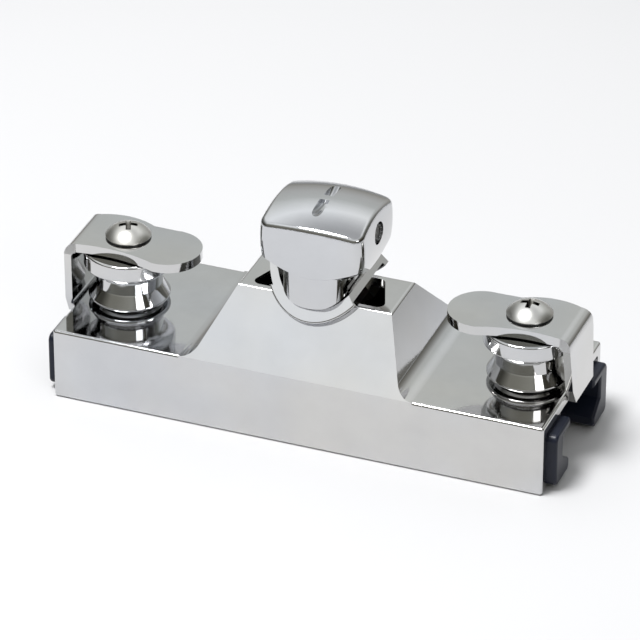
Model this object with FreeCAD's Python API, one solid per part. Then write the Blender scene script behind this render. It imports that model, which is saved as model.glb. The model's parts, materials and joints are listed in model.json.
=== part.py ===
"""Track traveller car for a boat's mainsheet, built as separate pieces.

A stainless channel with a raised middle slides on a T-section track by four
composite sliders.  A toggle head rocks in a saddle on top of the middle, and
a line sheave stands under a cover plate at each end.

Frame: millimetres, origin at the centre of the channel's underside, +X along
the track, +Y across it, +Z up, away from the track.
"""
import FreeCAD, Part
import math
import os

V = FreeCAD.Vector
X_AXIS, Y_AXIS, Z_AXIS = V(1, 0, 0), V(0, 1, 0), V(0, 0, 1)
WIDE = 200.0                     # longer than the whole car, for cutting tools

# ---- channel -------------------------------------------------------------
CAR_LENGTH = 150.0
CAR_WIDTH = 51.6
CAR_HEIGHT = 22.3
CAR_WALL = 3.0
EDGE_ROUND = 0.9
HALF_LENGTH = CAR_LENGTH / 2
HALF_WIDTH = CAR_WIDTH / 2
PLATE_UNDERSIDE = CAR_HEIGHT - CAR_WALL

# ---- raised middle -------------------------------------------------------
HUMP_TOP = 40.0
HUMP_TOP_HALF_LENGTH = 23.4
HUMP_TOP_HALF_WIDTH = 9.3
HUMP_FLANK_LEAN = 25.8           # degrees from upright, end faces
HUMP_FOOT_RADIUS = 6.0
HUMP_WALL = 2.6
HUMP_EDGE_ROUND = 1.0
WINDOW_FRONT, WINDOW_BACK = -7.6, 7.6
WINDOW_FRONT_HALF, WINDOW_BACK_HALF = 20.8, 15.2
WINDOW_CORNER = 2.2

# ---- saddle and toggle, all concentric about one axis along Y -----------
ROCK_Z = 52.5
BOSS_RADIUS = 13.3
LINER_INNER = 14.0
LINER_OUTER = 16.2
LINER_FLANGE = 17.4
LINER_PROUD = 2.0                # stands out of the raised middle's faces
LINER_FLANGE_WIDTH = 2.6
LINER_BACK = 16.6                # square back end
LINER_HALF_ANGLE = 60.0
LINER_REST_TILT = 12.5
LINER_SLOT_HALF_ANGLE = 26.0
LINER_EDGE = 0.5                 # rounding of the front rim
BRIDGE_INNER = 16.6
BRIDGE_OUTER = 21.6
BRIDGE_HALF_ANGLE = 36.0
SEAT_RADIUS = 17.8
SEAT_INSIDE = 9.6                # the wide part of the seat starts here
STEM_RADIUS = 4.2
STEM_SLOT_RADIUS = 4.6
STEM_TOP, STEM_BOTTOM = 62.9, 20.4
WASHER_TOP_RADIUS = 21.9
WASHER_BOTTOM = 26.6
WASHER_HALF_LENGTH, WASHER_HALF_WIDTH = 8.5, 9.2
STEM_NUT_HEIGHT, STEM_NUT_FLATS = 4.6, 13.0
PIN_Z, PIN_RADIUS, PIN_HOLE_RADIUS, PIN_HALF_LENGTH = 59.7, 2.9, 2.94, 13.0
PIN_MOUTH_RADIUS = 3.4

# ---- toggle head ---------------------------------------------------------
HEAD_HALF_X, HEAD_HALF_Y = 16.0, 14.6
HEAD_CROWN = 68.1
HEAD_WIDEST_Z = 58.9
HEAD_SIDE_RADIUS, HEAD_FACE_RADIUS = 36.0, 110.0
CROWN_RADIUS_ACROSS, CROWN_RADIUS_ALONG = 35.0, 68.0
HEAD_CORNER = 3.4
HEAD_EDGE = 1.8
BOSS_HALF_X, BOSS_HALF_Y, BOSS_CORNER = 9.6, 14.3, 6.0
NECK_RADIUS, NECK_Z = 14.6, 49.3 # the head's underside meets its front face
NECK_SLOPE = 0.75                # rise of the head's underside, outwards
LINER_SWEEP_HALF_ANGLE = 79.0    # the liner's travel seen from the head
EYE_CUTTER_RADIUS, EYE_DEPTH, EYE_HALF_WIDTH = 22.0, 3.3, 1.5
EYE_BRIDGE_HALF, EYE_BRIDGE_THICK = 1.3, 1.4

# ---- line sheaves, one at each end --------------------------------------
SHEAVE_X = 61.6
SHEAVE_BOTTOM, SHEAVE_TOP = 23.0, 39.5
SHEAVE_UPPER, SHEAVE_WAIST, SHEAVE_LOWER = 13.2, 9.8, 12.0
SHEAVE_RIM, SHEAVE_HUB = 5.0, 9.4 # height of the upper rim, radius of the foot
BUSH_OUTER, BUSH_INNER = 6.4, 4.55
POST_RADIUS, SPIGOT_RADIUS, SPIGOT_HOLE = 4.5, 3.0, 3.05
SPIGOT_BOTTOM = 15.9
AXLE_NUT_HEIGHT, AXLE_NUT_FLATS = 3.2, 10.0
THRUST_RADIUS, THRUST_THICK = 9.2, 0.6

# ---- cover plates --------------------------------------------------------
COVER_TOP, COVER_THICK = 42.8, 2.8
COVER_UNDERSIDE = COVER_TOP - COVER_THICK
COVER_BEND = 3.4                 # outer radius of the bend
TAIL_OUT, TAIL_THICK, TAIL_BOTTOM = 77.4, 2.2, 19.2
TAIL_FRONT, TAIL_BACK = -10.8, 11.3
BEND_FRONT, BEND_BACK = -10.0, 8.8 # width of the plate where the bend starts
TAIL_KNEE_Z = 24.5
TAIL_LOW = {-1: (-10.6, -8.4), 1: (-7.2, -4.0)} # knee and toe of each plate
SCREW_HEAD_RADIUS, SCREW_HEAD_HEIGHT, SCREW_RADIUS = 6.85, 3.5, 2.5
SCREW_WASHER_RADIUS, SCREW_WASHER_THICK = 6.5, 0.5
RECESS_DEPTH, RECESS_REACH = 2.4, 3.5
RECESS_WING, RECESS_FOOT = 1.5, 1.1 # width of a wing, half length at its foot
RECESS_TURN = {-1: 23, 1: 2}     # degrees, left and right screw
SCREW_DEPTH = 11.0

# ---- composite sliders, a C section that holds the track's head ---------
SLIDER_OUT = 22.6
SLIDER_TOP, SLIDER_BOTTOM = 19.1, 1.6
SLIDER_WEB_IN = 16.5
SLIDER_ARM_END, SLIDER_LIP_END = 10.5, 11.0
HEAD_ROOM_TOP, LIP_ROOT, LIP_TIP = 15.6, 9.0, 5.2
COLLAR_REACH = 3.1
COLLAR_TOP = 18.2
SLIDER_GAP = 0.3                 # between the two halves at mid length


def box(x0, x1, y0, y1, z0, z1):
    return Part.makeBox(x1 - x0, y1 - y0, z1 - z0, V(x0, y0, z0))


def cylinder(radius, centre, axis, length):
    """A cylinder of the given length, centred on the given point."""
    start = centre - axis * (length / 2)
    return Part.makeCylinder(radius, length, start, axis)


def upright(radius, x, y, z0, z1):
    return Part.makeCylinder(radius, z1 - z0, V(x, y, z0), Z_AXIS)


def tube(outer, inner, x, z0, z1):
    return upright(outer, x, 0, z0, z1).cut(upright(inner, x, 0, z0, z1))


def prism(points, direction):
    wire = Part.makePolygon(points + [points[0]])
    return Part.Face(wire).extrude(direction)


def hex_nut(flats, height, bore, x, top):
    """A hexagon nut hanging below the height called top."""
    corner = flats / 2 / math.cos(math.radians(30))
    ring = []
    for step in range(6):
        turn = math.radians(60 * step)
        ring.append(V(x + corner * math.cos(turn), corner * math.sin(turn), top - height))
    nut = prism(ring, Z_AXIS * height)
    rounding = Part.makeCone(corner + height * 1.6, corner * 0.93, height * 1.02,
                             V(x, 0, top), Z_AXIS * -1)
    return nut.common(rounding).cut(upright(bore, x, 0, top - height - 1, top + 1))


def fillet_where(shape, radius, wanted):
    edges = [edge for edge in shape.Edges if wanted(edge)]
    return shape.makeFillet(radius, edges)


def rocked(shape, degrees):
    """Turns a shape about the rocking axis."""
    turned = shape.copy()
    turned.rotate(V(0, 0, ROCK_Z), Y_AXIS, degrees)
    return turned


def ring_sector(outer, inner, half_angle, y0, y1):
    """A stretch of pipe about the rocking axis, centred below it."""
    ends = []
    for sign in (-1, 1):
        for radius in (inner, outer):
            turn = math.radians(sign * half_angle)
            ends.append(V(radius * math.sin(turn), y0, ROCK_Z - radius * math.cos(turn)))
    left_in, left_out, right_in, right_out = ends
    inner_arc = Part.Arc(left_in, V(0, y0, ROCK_Z - inner), right_in).toShape()
    outer_arc = Part.Arc(right_out, V(0, y0, ROCK_Z - outer), left_out).toShape()
    sides = [Part.LineSegment(right_in, right_out).toShape(),
             Part.LineSegment(left_out, left_in).toShape()]
    wire = Part.Wire([inner_arc, sides[0], outer_arc, sides[1]])
    return Part.Face(wire).extrude(V(0, y1 - y0, 0))


def face_offset_y(z, outset):
    """Half width of the raised middle at a height, its faces moved outwards."""
    rise = HUMP_TOP - CAR_HEIGHT
    run = HALF_WIDTH - HUMP_TOP_HALF_WIDTH
    slant = math.hypot(rise, run) / rise
    return HUMP_TOP_HALF_WIDTH + (HUMP_TOP - z) * run / rise + outset * slant


def leaning_slab(outset, z0, z1):
    """What lies between the two leaning faces, from one height to another."""
    low, high = face_offset_y(z0, outset), face_offset_y(z1, outset)
    outline = [V(-WIDE / 2, -low, z0), V(-WIDE / 2, low, z0),
               V(-WIDE / 2, high, z1), V(-WIDE / 2, -high, z1)]
    return prism(outline, X_AXIS * WIDE)


def liner_span(outset, back):
    """What lies between the leaning front face, moved outwards, and a back plane."""
    low, high = face_offset_y(20, outset), face_offset_y(60, outset)
    outline = [V(-WIDE / 2, -low, 20), V(-WIDE / 2, back, 20),
               V(-WIDE / 2, back, 60), V(-WIDE / 2, -high, 60)]
    return prism(outline, X_AXIS * WIDE)


def hump_flank_x(z, inset):
    lean = math.radians(HUMP_FLANK_LEAN)
    return HUMP_TOP_HALF_LENGTH + (HUMP_TOP - z) * math.tan(lean) - inset / math.cos(lean)


def hump_outside():
    """The raised middle with hollow feet that run out on the top plate."""
    lean = math.radians(HUMP_FLANK_LEAN)
    corner_x = hump_flank_x(CAR_HEIGHT, 0)
    tangent = HUMP_FOOT_RADIUS * math.tan((math.pi / 2 - lean) / 2)
    foot_x = corner_x + tangent
    rise_x = corner_x - tangent * math.sin(lean)
    rise_z = CAR_HEIGHT + tangent * math.cos(lean)
    centre = V(foot_x, 0, CAR_HEIGHT + HUMP_FOOT_RADIUS)
    half = math.radians(HUMP_FLANK_LEAN + (90 - HUMP_FLANK_LEAN) / 2)
    middle = centre - V(math.cos(half), 0, math.sin(half)) * HUMP_FOOT_RADIUS
    y = V(0, -HALF_WIDTH, 0)
    low = CAR_HEIGHT - EDGE_ROUND

    def mirrored(point):
        return V(-point.x, point.y, point.z)

    right = [V(foot_x, 0, low) + y, V(foot_x, 0, CAR_HEIGHT) + y, middle + y,
             V(rise_x, 0, rise_z) + y, V(HUMP_TOP_HALF_LENGTH, 0, HUMP_TOP) + y]
    left = [mirrored(point) for point in right]
    edges = [Part.LineSegment(left[0], right[0]), Part.LineSegment(right[0], right[1]),
             Part.Arc(right[1], right[2], right[3]), Part.LineSegment(right[3], right[4]),
             Part.LineSegment(right[4], left[4]), Part.LineSegment(left[4], left[3]),
             Part.Arc(left[3], left[2], left[1]), Part.LineSegment(left[1], left[0])]
    profile = Part.Wire([edge.toShape() for edge in edges])
    body = Part.Face(profile).extrude(Y_AXIS * CAR_WIDTH)
    body = body.common(leaning_slab(0, low, HUMP_TOP + 1))
    body = body.common(box(-WIDE, WIDE, -HALF_WIDTH, HALF_WIDTH, 0, WIDE))
    return fillet_where(body, HUMP_EDGE_ROUND,
                        lambda edge: edge.BoundBox.ZMin > HUMP_TOP - 0.01)


def hump_inside():
    """The hollow under the raised middle, open to the channel below."""
    top, low = HUMP_TOP - HUMP_WALL, CAR_HEIGHT
    outline = [V(-hump_flank_x(low, HUMP_WALL), -WIDE / 2, low),
               V(hump_flank_x(low, HUMP_WALL), -WIDE / 2, low),
               V(hump_flank_x(top, HUMP_WALL), -WIDE / 2, top),
               V(-hump_flank_x(top, HUMP_WALL), -WIDE / 2, top)]
    hollow = prism(outline, Y_AXIS * WIDE).common(leaning_slab(-HUMP_WALL, low, top))
    inner_x = hump_flank_x(CAR_HEIGHT, HUMP_WALL)
    inner_y = face_offset_y(CAR_HEIGHT, -HUMP_WALL)
    return hollow.fuse(box(-inner_x, inner_x, -inner_y, inner_y, 10, CAR_HEIGHT))


def top_window():
    """The opening in the top of the raised middle, narrower at the back."""
    z = HUMP_TOP - HUMP_WALL - 1
    outline = [V(-WINDOW_FRONT_HALF, WINDOW_FRONT, z), V(WINDOW_FRONT_HALF, WINDOW_FRONT, z),
               V(WINDOW_BACK_HALF, WINDOW_BACK, z), V(-WINDOW_BACK_HALF, WINDOW_BACK, z)]
    window = prism(outline, Z_AXIS * (HUMP_WALL + 4))
    return fillet_where(window, WINDOW_CORNER,
                        lambda edge: edge.BoundBox.ZLength > HUMP_WALL)


def car_body():
    shell = box(-HALF_LENGTH, HALF_LENGTH, -HALF_WIDTH, HALF_WIDTH, 0, CAR_HEIGHT)
    shell = shell.makeFillet(EDGE_ROUND, shell.Edges)
    inner_y = HALF_WIDTH - CAR_WALL
    channel = box(-WIDE, WIDE, -inner_y, inner_y, -1, PLATE_UNDERSIDE)
    channel = fillet_where(channel, 1.2, lambda edge: edge.BoundBox.XLength > WIDE
                           and edge.BoundBox.ZMin > 1)
    body = shell.fuse(hump_outside()).cut(channel).cut(hump_inside()).cut(top_window())

    seat = ring_sector(BRIDGE_OUTER, BRIDGE_INNER, BRIDGE_HALF_ANGLE, -WIDE / 2, WIDE / 2)
    seat = seat.common(leaning_slab(-HUMP_WALL / 2, CAR_HEIGHT, HUMP_TOP))
    body = body.fuse(seat)
    axis_point = V(0, 0, ROCK_Z)
    body = body.cut(cylinder(BRIDGE_INNER, axis_point, Y_AXIS, WIDE))
    for side in (-1, 1):
        start = V(0, side * SEAT_INSIDE, ROCK_Z)
        body = body.cut(Part.makeCylinder(SEAT_RADIUS, WIDE / 2, start, Y_AXIS * side))
    slot = box(-BRIDGE_OUTER, BRIDGE_OUTER, -STEM_SLOT_RADIUS, STEM_SLOT_RADIUS,
               PLATE_UNDERSIDE + 5, HUMP_TOP - 1)
    body = body.cut(slot)
    for side in (-1, 1):
        body = body.cut(upright(SPIGOT_HOLE, side * SHEAVE_X, 0, 10, CAR_HEIGHT + 1))
    return body.removeSplitter()


def slider_profile(x, top):
    """C section of a front slider at one x, open towards the track."""
    out = -SLIDER_OUT
    return [V(x, -SLIDER_ARM_END, top), V(x, out, top), V(x, out, SLIDER_BOTTOM),
            V(x, -SLIDER_LIP_END - 1.2, SLIDER_BOTTOM), V(x, -SLIDER_LIP_END, SLIDER_BOTTOM + 1.2),
            V(x, -SLIDER_LIP_END, LIP_TIP), V(x, -SLIDER_WEB_IN, LIP_ROOT),
            V(x, -SLIDER_WEB_IN, HEAD_ROOM_TOP), V(x, -SLIDER_ARM_END, HEAD_ROOM_TOP)]


def slider(side_x, side_y):
    """One half-length slider with the collar that stands out of the car's end."""
    long_part = prism(slider_profile(SLIDER_GAP, SLIDER_TOP), X_AXIS * (HALF_LENGTH - SLIDER_GAP))
    long_part = fillet_where(long_part, 2.2, lambda edge: edge.BoundBox.XLength > 10
                             and edge.BoundBox.YMax < -SLIDER_OUT + 0.01)
    collar = prism(slider_profile(HALF_LENGTH, COLLAR_TOP), X_AXIS * COLLAR_REACH)
    collar = fillet_where(collar, 2.2, lambda edge: edge.BoundBox.XLength > COLLAR_REACH - 0.1
                          and edge.BoundBox.YMax < -SLIDER_OUT + 0.01)
    end_x = HALF_LENGTH + COLLAR_REACH
    collar = fillet_where(collar, 0.9, lambda edge: edge.BoundBox.XMin > end_x - 0.01)
    piece = long_part.fuse(collar)
    if side_x < 0:
        piece = piece.mirror(V(0, 0, 0), X_AXIS)
    if side_y > 0:
        piece = piece.mirror(V(0, 0, 0), Y_AXIS)
    return piece


def cover_outline(z):
    """Plan of the right cover: round tongue, dipped front edge, bulge at the screw."""
    tongue_x, tongue_y, tongue_r = 48.2, -2.2, 10.0
    back = V(tongue_x + 1.2, tongue_y + tongue_r - 0.07, z)
    front = V(tongue_x + 1.2, tongue_y - tongue_r + 0.07, z)
    outer_front, outer_back = V(TAIL_OUT, TAIL_FRONT, z), V(TAIL_OUT, TAIL_BACK - 4.5, z)
    dip, waist = V(63.5, -9.2, z), V(56.8, 7.9, z)
    bulge = V(66.0, 10.5, z)
    edges = [Part.Arc(back, V(tongue_x - tongue_r, tongue_y, z), front),
             Part.Arc(front, dip, outer_front), Part.LineSegment(outer_front, outer_back),
             Part.Arc(outer_back, bulge, waist), Part.LineSegment(waist, back)]
    return Part.Face(Part.Wire([edge.toShape() for edge in edges]))


def cover_plate(side):
    flat = cover_outline(COVER_UNDERSIDE).extrude(Z_AXIS * COVER_THICK)
    block = box(30, TAIL_OUT, -20, 20, TAIL_BOTTOM, COVER_TOP)
    block = fillet_where(block, COVER_BEND, lambda edge: edge.BoundBox.YLength > 30
                         and edge.BoundBox.XMin > TAIL_OUT - 0.01
                         and edge.BoundBox.ZMin > COVER_TOP - 0.01)
    inside = box(20, TAIL_OUT - TAIL_THICK, -25, 25, 0, COVER_UNDERSIDE)
    inside = fillet_where(inside, COVER_BEND - TAIL_THICK,
                          lambda edge: edge.BoundBox.YLength > 30
                          and edge.BoundBox.XMin > TAIL_OUT - TAIL_THICK - 0.01
                          and edge.BoundBox.ZMin > COVER_UNDERSIDE - 0.01)
    bent = block.cut(inside)
    bend_start = TAIL_OUT - COVER_BEND
    knee, toe = TAIL_LOW[side]
    tail_shape = prism([V(bend_start, BEND_FRONT, COVER_TOP), V(bend_start, BEND_BACK, COVER_TOP),
                        V(bend_start, TAIL_BACK - 1.2, COVER_TOP - 7),
                        V(bend_start, TAIL_BACK, TAIL_BOTTOM), V(bend_start, toe, TAIL_BOTTOM),
                        V(bend_start, knee, TAIL_KNEE_Z),
                        V(bend_start, TAIL_FRONT, COVER_TOP - COVER_BEND)],
                       X_AXIS * (COVER_BEND + 1))
    plate = bent.common(flat.cut(box(bend_start, WIDE, -30, 30, 0, WIDE)))
    plate = plate.fuse(bent.common(tail_shape)).removeSplitter()
    plate = plate.cut(upright(SCREW_RADIUS + 0.15, SHEAVE_X, 0, 30, 50))
    return plate if side > 0 else plate.mirror(V(0, 0, 0), X_AXIS)


def cross_recess(x, top, turn):
    """Four tapering wings of a screwdriver cross, sunk in a screw head."""
    foot, half, low = RECESS_FOOT, RECESS_WING / 2, top - RECESS_DEPTH
    wing = prism([V(x - RECESS_REACH, -half, top + 0.5), V(x + RECESS_REACH, -half, top + 0.5),
                  V(x + foot, -half, low), V(x - foot, -half, low)], Y_AXIS * RECESS_WING)
    other = wing.copy()
    other.rotate(V(x, 0, 0), Z_AXIS, 90)
    cross = wing.fuse(other)
    cross.rotate(V(x, 0, 0), Z_AXIS, turn)
    return cross


def axle_screw(side):
    x = side * SHEAVE_X
    base = COVER_TOP + SCREW_WASHER_THICK
    dome = Part.makeSphere((SCREW_HEAD_RADIUS ** 2 + SCREW_HEAD_HEIGHT ** 2) / (2 * SCREW_HEAD_HEIGHT),
                           V(x, 0, base + SCREW_HEAD_HEIGHT
                             - (SCREW_HEAD_RADIUS ** 2 + SCREW_HEAD_HEIGHT ** 2)
                             / (2 * SCREW_HEAD_HEIGHT)))
    head = dome.common(upright(SCREW_HEAD_RADIUS - 0.15, x, 0, base, base + 10))
    head = head.cut(cross_recess(x, base + SCREW_HEAD_HEIGHT, RECESS_TURN[side]))
    return head.fuse(upright(SCREW_RADIUS, x, 0, COVER_UNDERSIDE - SCREW_DEPTH, base + 0.5))


def axle_post(side):
    x = side * SHEAVE_X
    post = upright(POST_RADIUS, x, 0, CAR_HEIGHT, COVER_UNDERSIDE)
    post = post.fuse(upright(SPIGOT_RADIUS, x, 0, SPIGOT_BOTTOM, CAR_HEIGHT))
    bore = upright(SCREW_RADIUS + 0.05, x, 0, COVER_UNDERSIDE - SCREW_DEPTH - 1.5, COVER_UNDERSIDE)
    return post.cut(bore)


def revolved(profile, x):
    """Turns a closed list of edges, drawn in radius and height, about a post."""
    wire = Part.Wire(profile)
    solid = Part.Face(wire).revolve(V(0, 0, 0), Z_AXIS, 360)
    solid.translate(V(x, 0, 0))
    return solid


def sheave(side):
    top, low = SHEAVE_TOP, SHEAVE_BOTTOM

    def at(radius, z):
        return V(radius, 0, z)

    rim_low, hub = top - SHEAVE_RIM, SHEAVE_HUB
    upper, waist, lower = SHEAVE_UPPER, SHEAVE_WAIST, SHEAVE_LOWER
    line, arc = Part.LineSegment, Part.Arc
    edges = [
        line(at(BUSH_OUTER, low), at(hub, low)),
        line(at(hub, low), at(hub + 0.6, low + 0.7)),
        line(at(hub + 0.6, low + 0.7), at(lower - 0.8, low + 0.7)),
        arc(at(lower - 0.8, low + 0.7), at(lower - 0.1, low + 1.0), at(lower, low + 1.7)),
        line(at(lower, low + 1.7), at(waist + 0.2, low + 4.9)),
        line(at(waist + 0.2, low + 4.9), at(waist, low + 5.2)),
        line(at(waist, low + 5.2), at(waist, rim_low - 2.8)),
        arc(at(waist, rim_low - 2.8), at(waist + 0.9, rim_low - 0.9), at(upper - 0.4, rim_low)),
        arc(at(upper - 0.4, rim_low), at(upper - 0.05, rim_low + 0.15), at(upper, rim_low + 0.5)),
        line(at(upper, rim_low + 0.5), at(upper, top - 0.7)),
        arc(at(upper, top - 0.7), at(upper - 0.2, top - 0.2), at(upper - 0.7, top)),
        line(at(upper - 0.7, top), at(BUSH_OUTER, top)),
        line(at(BUSH_OUTER, top), at(BUSH_OUTER, low)),
    ]
    return revolved([edge.toShape() for edge in edges], side * SHEAVE_X)


def head_barrel():
    """A barrel whose top is the head's crown, round along and across."""
    high, reach = HEAD_CROWN, 30.0
    drop = CROWN_RADIUS_ACROSS - math.sqrt(CROWN_RADIUS_ACROSS ** 2 - 20.0 ** 2)
    arc = Part.Arc(V(0, -20, high - drop), V(0, 0, high), V(0, 20, high - drop)).toShape()
    foot = high - reach
    sides = Part.makePolygon([V(0, 20, high - drop), V(0, 20, foot), V(0, -20, foot),
                              V(0, -20, high - drop)])
    face = Part.Face(Part.Wire([arc] + sides.Edges))
    axis_start = V(0, 0, high - CROWN_RADIUS_ALONG)
    face.rotate(axis_start, Y_AXIS, -25)
    return face.revolve(axis_start, Y_AXIS, 50)


def toggle_head():
    low = ROCK_Z - BOSS_RADIUS - 1
    block = box(-HEAD_HALF_X, HEAD_HALF_X, -HEAD_HALF_Y, HEAD_HALF_Y, NECK_Z - 6,
                HEAD_CROWN + 2)
    side_curve = cylinder(HEAD_SIDE_RADIUS, V(HEAD_HALF_X - HEAD_SIDE_RADIUS, 0, HEAD_WIDEST_Z),
                          Y_AXIS, 60)
    block = block.common(side_curve).common(side_curve.mirror(V(0, 0, 0), X_AXIS))
    face_curve = cylinder(HEAD_FACE_RADIUS, V(0, HEAD_FACE_RADIUS - HEAD_HALF_Y, 0), Z_AXIS, 200)
    block = block.common(face_curve).common(face_curve.mirror(V(0, 0, 0), Y_AXIS))
    block = fillet_where(block, HEAD_CORNER, lambda edge: edge.BoundBox.ZLength > 5)
    block = block.common(head_barrel())
    block = fillet_where(block, HEAD_EDGE, lambda edge: edge.BoundBox.ZMin > HEAD_WIDEST_Z
                         and edge.BoundBox.ZLength < 5)
    outer = HEAD_HALF_X + 8
    centre_z = NECK_Z - NECK_SLOPE * NECK_RADIUS
    under = [V(0, 0, centre_z - 2), V(outer, 0, centre_z - 2),
             V(outer, 0, centre_z + NECK_SLOPE * outer), V(0, 0, centre_z)]
    face = Part.Face(Part.makePolygon(under + [under[0]]))
    block = block.cut(face.revolve(V(0, 0, 0), Z_AXIS, 360))
    block = block.cut(ring_sector(LINER_FLANGE + 0.8, BOSS_RADIUS, LINER_SWEEP_HALF_ANGLE,
                                  -HEAD_HALF_Y - 1, HEAD_HALF_Y + 1))
    boss = box(-BOSS_HALF_X, BOSS_HALF_X, -BOSS_HALF_Y, BOSS_HALF_Y, low, NECK_Z + 6)
    boss = fillet_where(boss, BOSS_CORNER, lambda edge: edge.BoundBox.ZLength > 10)
    boss = boss.common(cylinder(BOSS_RADIUS, V(0, 0, ROCK_Z), Y_AXIS, 60))
    head = block.fuse(boss)

    lift = HEAD_CROWN + EYE_CUTTER_RADIUS - EYE_DEPTH
    eye = cylinder(EYE_CUTTER_RADIUS, V(0, 0, lift), X_AXIS, 2 * EYE_HALF_WIDTH)
    eye = fillet_where(eye, EYE_HALF_WIDTH - 0.05, lambda edge: edge.Length > 10)
    eye = eye.cut(box(-5, 5, -EYE_BRIDGE_HALF, EYE_BRIDGE_HALF,
                      HEAD_CROWN - EYE_BRIDGE_THICK, HEAD_CROWN + 40))
    head = head.cut(eye)
    head = head.cut(upright(STEM_RADIUS + 0.02, 0, 0, low - 1, STEM_TOP + 0.3))
    head = head.cut(cylinder(PIN_HOLE_RADIUS, V(0, 0, PIN_Z), X_AXIS, 60))
    for side in (-1, 1):
        mouth = V(side * (PIN_HALF_LENGTH + 5.3), 0, PIN_Z)
        head = head.cut(cylinder(PIN_MOUTH_RADIUS, mouth, X_AXIS, 10))
    return head.removeSplitter()


def toggle_stem():
    stem = upright(STEM_RADIUS, 0, 0, STEM_BOTTOM, STEM_TOP)
    stem = stem.makeChamfer(0.6, [edge for edge in stem.Edges if edge.Length > 20])
    return stem.cut(cylinder(PIN_HOLE_RADIUS, V(0, 0, PIN_Z), X_AXIS, 30))


def cross_pin():
    pin = cylinder(PIN_RADIUS, V(0, 0, PIN_Z), X_AXIS, 2 * PIN_HALF_LENGTH)
    return pin.makeChamfer(0.4, [edge for edge in pin.Edges if edge.BoundBox.XLength < 0.01])


def rocker_washer():
    high = ROCK_Z - WASHER_TOP_RADIUS + 6
    block = box(-WASHER_HALF_LENGTH, WASHER_HALF_LENGTH, -WASHER_HALF_WIDTH, WASHER_HALF_WIDTH,
                WASHER_BOTTOM, high)
    block = block.cut(cylinder(WASHER_TOP_RADIUS, V(0, 0, ROCK_Z), Y_AXIS, 60))
    return block.cut(upright(STEM_RADIUS + 0.02, 0, 0, WASHER_BOTTOM - 1, high + 1))


def saddle_liner():
    """Flanged half bush, leaning in front like the raised middle, upright behind."""
    span = liner_span(LINER_PROUD, LINER_BACK)
    wall = ring_sector(LINER_OUTER, LINER_INNER, LINER_HALF_ANGLE, -30, 30)
    flange = ring_sector(LINER_FLANGE, LINER_OUTER - 0.2, LINER_HALF_ANGLE, -30, 30)
    wall, flange = rocked(wall, LINER_REST_TILT), rocked(flange, LINER_REST_TILT)
    between = liner_span(LINER_PROUD - LINER_FLANGE_WIDTH, LINER_BACK - LINER_FLANGE_WIDTH)
    flange = flange.common(span).cut(between)
    flange = flange.cut(box(-40, 40, -SEAT_INSIDE - 0.4, 0, 20, 60))
    liner = wall.common(span).fuse(flange)
    slot_low = LINER_INNER * math.sin(math.radians(LINER_SLOT_HALF_ANGLE))
    slot = box(-slot_low, slot_low, -STEM_SLOT_RADIUS, STEM_SLOT_RADIUS, 30, ROCK_Z - 5)
    liner = liner.cut(slot).removeSplitter()
    return fillet_where(liner, LINER_EDGE, lambda edge: edge.Length > 9
                        and edge.BoundBox.YMax < -SEAT_INSIDE)


def side_pieces(name, side):
    """All pieces of one end of the car."""
    x = side * SHEAVE_X
    bush = tube(BUSH_OUTER, BUSH_INNER, x, SHEAVE_BOTTOM - 0.05, SHEAVE_TOP + 0.15)
    washer_base = COVER_TOP
    return {
        name + "_cover_plate": cover_plate(side),
        name + "_axle_post": axle_post(side),
        name + "_axle_screw": axle_screw(side),
        name + "_screw_washer": tube(SCREW_WASHER_RADIUS, SCREW_RADIUS + 0.1, x, washer_base,
                                     washer_base + SCREW_WASHER_THICK),
        name + "_axle_nut": hex_nut(AXLE_NUT_FLATS, AXLE_NUT_HEIGHT, SPIGOT_RADIUS + 0.02, x,
                                    PLATE_UNDERSIDE),
        name + "_thrust_washer": tube(THRUST_RADIUS, POST_RADIUS + 0.1, x, CAR_HEIGHT,
                                      CAR_HEIGHT + THRUST_THICK),
        name + "_sheave": sheave(side),
        name + "_sheave_bush": bush,
    }


def all_pieces():
    pieces = {"car_body": car_body()}
    for name, side in (("left", -1), ("right", 1)):
        pieces.update(side_pieces(name, side))
        pieces["front_" + name + "_slider"] = slider(side, -1)
        pieces["back_" + name + "_slider"] = slider(side, 1)
    pieces["saddle_liner"] = saddle_liner()
    pieces["toggle_head"] = toggle_head()
    pieces["toggle_stem"] = toggle_stem()
    pieces["cross_pin"] = cross_pin()
    pieces["rocker_washer"] = rocker_washer()
    pieces["stem_nut"] = hex_nut(STEM_NUT_FLATS, STEM_NUT_HEIGHT, STEM_RADIUS + 0.02, 0,
                                 WASHER_BOTTOM)
    return pieces


os.makedirs("parts", exist_ok=True)
for node, shape in all_pieces().items():
    solids = shape.Solids
    print(node, "solids", len(solids), "valid", shape.isValid(), "volume", round(shape.Volume, 1))
    solid = solids[0] if len(solids) == 1 else shape
    solid.exportStep("parts/" + node + ".step")
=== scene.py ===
"""Looks of the track traveller car: polished steel, black composite sliders."""

import json
import math

import bpy
from mathutils import Matrix, Vector

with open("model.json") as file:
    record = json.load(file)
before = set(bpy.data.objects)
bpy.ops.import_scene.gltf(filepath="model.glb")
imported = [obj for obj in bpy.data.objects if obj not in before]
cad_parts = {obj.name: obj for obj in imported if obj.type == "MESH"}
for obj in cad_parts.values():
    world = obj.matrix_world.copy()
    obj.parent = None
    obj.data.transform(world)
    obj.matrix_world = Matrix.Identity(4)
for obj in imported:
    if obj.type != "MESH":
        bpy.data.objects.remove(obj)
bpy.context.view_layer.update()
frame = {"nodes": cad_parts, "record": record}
NODES = frame["nodes"]


# ---- node helpers --------------------------------------------------------
def new_material(name):
    """An empty node material with its output and a Principled shader."""
    material = bpy.data.materials.new(name)
    material.use_nodes = True
    tree = material.node_tree
    tree.nodes.clear()
    output = tree.nodes.new("ShaderNodeOutputMaterial")
    shader = tree.nodes.new("ShaderNodeBsdfPrincipled")
    tree.links.new(shader.outputs["BSDF"], output.inputs["Surface"])
    return material, tree, shader


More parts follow.
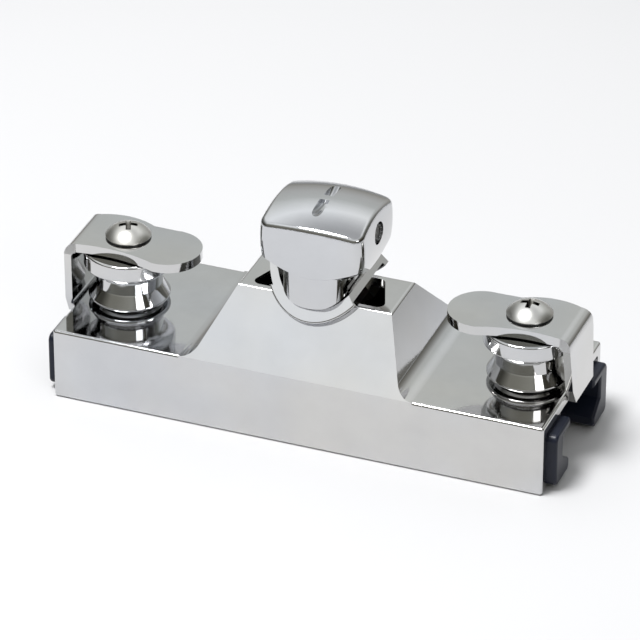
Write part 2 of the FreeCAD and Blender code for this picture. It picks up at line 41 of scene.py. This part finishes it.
def object_coordinates(tree, scale):
    """Object coordinates in metres, multiplied by scale (one number or three)."""
    coordinates = tree.nodes.new("ShaderNodeTexCoord")
    mapping = tree.nodes.new("ShaderNodeMapping")
    tree.links.new(coordinates.outputs["Object"], mapping.inputs["Vector"])
    factors = scale if isinstance(scale, tuple) else (scale, scale, scale)
    mapping.inputs["Scale"].default_value = factors
    return mapping.outputs["Vector"]


def noise(tree, vector, detail, rough):
    """A noise value at the given coordinates."""
    texture = tree.nodes.new("ShaderNodeTexNoise")
    texture.inputs["Scale"].default_value = 1.0
    texture.inputs["Detail"].default_value = detail
    texture.inputs["Roughness"].default_value = rough
    tree.links.new(vector, texture.inputs["Vector"])
    return texture.outputs["Fac"]


def ramp(tree, factor, stops):
    """A colour ramp through (position, colour) stops."""
    node = tree.nodes.new("ShaderNodeValToRGB")
    elements = node.color_ramp.elements
    while len(elements) < len(stops):
        elements.new(0.5)
    for element, (position, colour) in zip(elements, stops):
        element.position = position
        element.color = (*colour, 1.0)
    tree.links.new(factor, node.inputs["Fac"])
    return node.outputs["Color"]


def spread(tree, factor, low, high):
    """A 0 to 1 value spread over low to high."""
    node = tree.nodes.new("ShaderNodeMapRange")
    node.inputs["To Min"].default_value = low
    node.inputs["To Max"].default_value = high
    tree.links.new(factor, node.inputs["Value"])
    return node.outputs["Result"]


def weighted(tree, value, factor, offset):
    """value * factor + offset; the offset is a number or another output."""
    node = tree.nodes.new("ShaderNodeMath")
    node.operation = "MULTIPLY_ADD"
    node.inputs[1].default_value = factor
    tree.links.new(value, node.inputs[0])
    if isinstance(offset, float):
        node.inputs[2].default_value = offset
    else:
        tree.links.new(offset, node.inputs[2])
    return node.outputs["Value"]


def multiplied(tree, first, second):
    """The product of two colours."""
    node = tree.nodes.new("ShaderNodeMix")
    node.data_type = "RGBA"
    node.blend_type = "MULTIPLY"
    node.inputs["Factor"].default_value = 1.0
    colours = [socket for socket in node.inputs if socket.type == "RGBA"]
    tree.links.new(first, colours[0])
    tree.links.new(second, colours[1])
    return next(socket for socket in node.outputs if socket.type == "RGBA")


def bump(tree, shader, height, distance, strength=1.0):
    """Relief of the given depth in metres on a shader."""
    node = tree.nodes.new("ShaderNodeBump")
    node.inputs["Strength"].default_value = strength
    node.inputs["Distance"].default_value = distance
    tree.links.new(height, node.inputs["Height"])
    tree.links.new(node.outputs["Normal"], shader.inputs["Normal"])


# ---- materials -----------------------------------------------------------
def polished_steel(name, tone, rough_low, rough_high, ripple, painted_shade_reach=0.0):
    """Mirror-polished stainless: buffing haze, faint ripples, painted shade darkening the
    recesses.
    """
    material, tree, shader = new_material(name)
    haze = noise(tree, object_coordinates(tree, 55.0), 5.0, 0.6)
    clouds = noise(tree, object_coordinates(tree, 22.0), 2.0, 0.5)
    light = tuple(min(1.0, channel * 1.03) for channel in tone)
    dark = tuple(channel * 0.95 for channel in tone)
    colour = ramp(tree, haze, [(0.3, dark), (0.7, light)])
    cast = ramp(tree, clouds, [(0.35, (0.97, 0.985, 1.0)), (0.65, (1.0, 0.99, 0.955))])
    colour = multiplied(tree, colour, cast)
    # Painted shade: ambient occlusion darkens the colour in narrow recesses, where shade falls.
    if painted_shade_reach:
        colour = multiplied(tree, colour, recess_shade(tree, painted_shade_reach))
    tree.links.new(colour, shader.inputs["Base Color"])
    tree.links.new(spread(tree, haze, rough_low, rough_high), shader.inputs["Roughness"])
    shader.inputs["Metallic"].default_value = 1.0
    waves = noise(tree, object_coordinates(tree, (35.0, 60.0, 60.0)), 2.0, 0.4)
    bump(tree, shader, waves, ripple)
    return material


def recess_shade(tree, reach):
    """Painted shade: darkens narrow recesses, from ambient occlusion over a short reach."""
    node = tree.nodes.new("ShaderNodeAmbientOcclusion")
    node.samples = 8
    node.only_local = True
    node.inputs["Distance"].default_value = reach
    return ramp(tree, node.outputs["AO"], [
        (0.35, (0.02, 0.02, 0.02)), (0.62, (0.25, 0.24, 0.22)), (0.86, (1.0, 1.0, 1.0))])


def composite_black():
    """Fibre-filled black composite with a soft moulded sheen."""
    material, tree, shader = new_material("composite_black")
    grain = noise(tree, object_coordinates(tree, 900.0), 3.0, 0.6)
    patches = noise(tree, object_coordinates(tree, 70.0), 3.0, 0.5)
    colour = ramp(tree, patches, [(0.3, (0.006, 0.008, 0.016)), (0.7, (0.014, 0.017, 0.030))])
    tree.links.new(colour, shader.inputs["Base Color"])
    tree.links.new(spread(tree, patches, 0.24, 0.42), shader.inputs["Roughness"])
    shader.inputs["IOR"].default_value = 1.45
    shader.inputs["Specular IOR Level"].default_value = 0.3
    bump(tree, shader, grain, 0.00003, 0.5)
    return material


def washer_black_and_shade():
    """Satin black plastic of the thin washers; the black washers under the screw heads stand in
    for the shadow under each head, as painted shade.
    """
    material, tree, shader = new_material("washer_black_and_shade")
    patches = noise(tree, object_coordinates(tree, 200.0), 3.0, 0.5)
    colour = ramp(tree, patches, [(0.3, (0.010, 0.010, 0.011)), (0.7, (0.022, 0.022, 0.023))])
    tree.links.new(colour, shader.inputs["Base Color"])
    tree.links.new(spread(tree, patches, 0.35, 0.5), shader.inputs["Roughness"])
    return material


def bearing_bronze():
    """Plain bearing bronze, a little uneven."""
    material, tree, shader = new_material("bearing_bronze")
    patches = noise(tree, object_coordinates(tree, 300.0), 4.0, 0.6)
    colour = ramp(tree, patches, [(0.3, (0.36, 0.22, 0.09)), (0.7, (0.52, 0.34, 0.15))])
    tree.links.new(colour, shader.inputs["Base Color"])
    tree.links.new(spread(tree, patches, 0.25, 0.4), shader.inputs["Roughness"])
    shader.inputs["Metallic"].default_value = 1.0
    return material


def dress_nodes():
    """Gives every CAD node the material of its slot."""
    finishes = {
        "polished_steel": polished_steel("polished_steel", tone=(0.60, 0.60, 0.61),
                                         rough_low=0.05, rough_high=0.10, ripple=0.00003),
        # The screws get painted shade in their recesses, over a 2.2 mm reach.
        "fastener_steel": polished_steel("fastener_steel", tone=(0.62, 0.61, 0.59),
                                         rough_low=0.24, rough_high=0.32, ripple=0.00002,
                                         painted_shade_reach=0.0022),
        "composite": composite_black(),
        # Black washers under the screw heads: painted shade under each head.
        "acetal": washer_black_and_shade(),
        "bronze": bearing_bronze(),
    }
    for part in frame["record"]["subparts"]:
        mesh = NODES[part["node"]].data
        mesh.materials.clear()
        mesh.materials.append(finishes[part["material_slot"]])


# ---- stage ---------------------------------------------------------------
def floor():
    """A plain pale floor, twelve metres across."""
    mesh = bpy.data.meshes.new("floor")
    half = 6.0
    mesh.from_pydata([(-half, -half, 0), (half, -half, 0), (half, half, 0), (-half, half, 0)],
                     [], [(0, 1, 2, 3)])
    plane = bpy.data.objects.new("floor", mesh)
    bpy.context.scene.collection.objects.link(plane)
    material, tree, shader = new_material("floor_white")
    shader.inputs["Base Color"].default_value = (0.58, 0.58, 0.59, 1)
    shader.inputs["Roughness"].default_value = 0.9
    shader.inputs["Specular IOR Level"].default_value = 0.1
    mesh.materials.append(material)


def hang_lamp(data, place, target):
    """Puts a lamp at place, pointing at target."""
    lamp = bpy.data.objects.new(data.name, data)
    lamp.location = place
    lamp.rotation_euler = (Vector(target) - Vector(place)).to_track_quat("-Z", "Y").to_euler()
    bpy.context.scene.collection.objects.link(lamp)


def side_box():
    """A soft box at the front right, which puts bright bands on the round parts."""
    data = bpy.data.lights.new("side_box", "AREA")
    data.shape = "RECTANGLE"
    data.size, data.size_y = 0.6, 0.42
    data.energy = 3.0
    hang_lamp(data, (1.2, -0.92, 0.9), (0, 0, 0.02))


def pool_of_light():
    """A soft spot overhead that whitens the floor round the object."""
    data = bpy.data.lights.new("pool", "SPOT")
    data.energy = 80.0
    data.shadow_soft_size = 0.25
    data.spot_size = math.radians(42)
    data.spot_blend = 0.35
    hang_lamp(data, (-0.25, -0.30, 1.25), (-0.05, 0.03, 0.0))


def studio():
    """A tent, brightest high up, grey lower down, dim low in front and dark at both sides."""
    world = bpy.data.worlds.new("studio")
    bpy.context.scene.world = world
    world.use_nodes = True
    tree = world.node_tree
    coordinates = tree.nodes.new("ShaderNodeTexCoord")
    parts = tree.nodes.new("ShaderNodeSeparateXYZ")
    tree.links.new(coordinates.outputs["Generated"], parts.inputs["Vector"])
    height = ramp(tree, parts.outputs["Z"], [
        (0.0, (0.34, 0.33, 0.30)), (0.12, (0.46, 0.455, 0.43)), (0.30, (0.60, 0.605, 0.59)),
        (0.50, (0.67, 0.69, 0.67)), (0.76, (1.18, 1.20, 1.21)), (0.95, (0.55, 0.56, 0.57))])
    facing = weighted(tree, parts.outputs["Y"], 0.6, parts.outputs["Z"])
    front = ramp(tree, facing, [
        (0.0, (0.38, 0.365, 0.325)), (0.20, (0.50, 0.49, 0.455)), (0.42, (1.0, 1.0, 1.0))])
    leaning_left = weighted(tree, parts.outputs["X"], -0.5, 0.5)
    sideways = ramp(tree, leaning_left, [
        (0.08, (0.12, 0.11, 0.09)), (0.18, (0.35, 0.35, 0.33)), (0.28, (1.0, 1.0, 1.0)),
        (0.78, (1.0, 1.0, 1.0)), (0.93, (0.25, 0.25, 0.24))])
    tint = multiplied(tree, multiplied(tree, height, front), sideways)
    background = tree.nodes["Background"]
    tree.links.new(tint, background.inputs["Color"])
    background.inputs["Strength"].default_value = 1.0


def camera():
    """Stands where the reference view stands: to the right, well above."""
    azimuth, elevation = math.radians(21.11), math.radians(30.92)
    distance, across, upward = 1.4547, -0.00186, 0.02362
    back = Vector((math.sin(azimuth) * math.cos(elevation),
                   -math.cos(azimuth) * math.cos(elevation), math.sin(elevation)))
    right = Vector((math.cos(azimuth), math.sin(azimuth), 0))
    up = back.cross(right)
    data = bpy.data.cameras.new("camera")
    data.sensor_width = 36.0
    data.lens = 281.25
    data.clip_start, data.clip_end = 0.05, 50.0
    view = bpy.data.objects.new("camera", data)
    turn = Matrix((right, up, back)).transposed().to_4x4()
    view.matrix_world = Matrix.Translation(back * distance + right * across + up * upward) @ turn
    bpy.context.scene.collection.objects.link(view)
    bpy.context.scene.camera = view


camera()
dress_nodes()
floor()
studio()
pool_of_light()
side_box()
bpy.context.scene.view_settings.view_transform = "Standard"
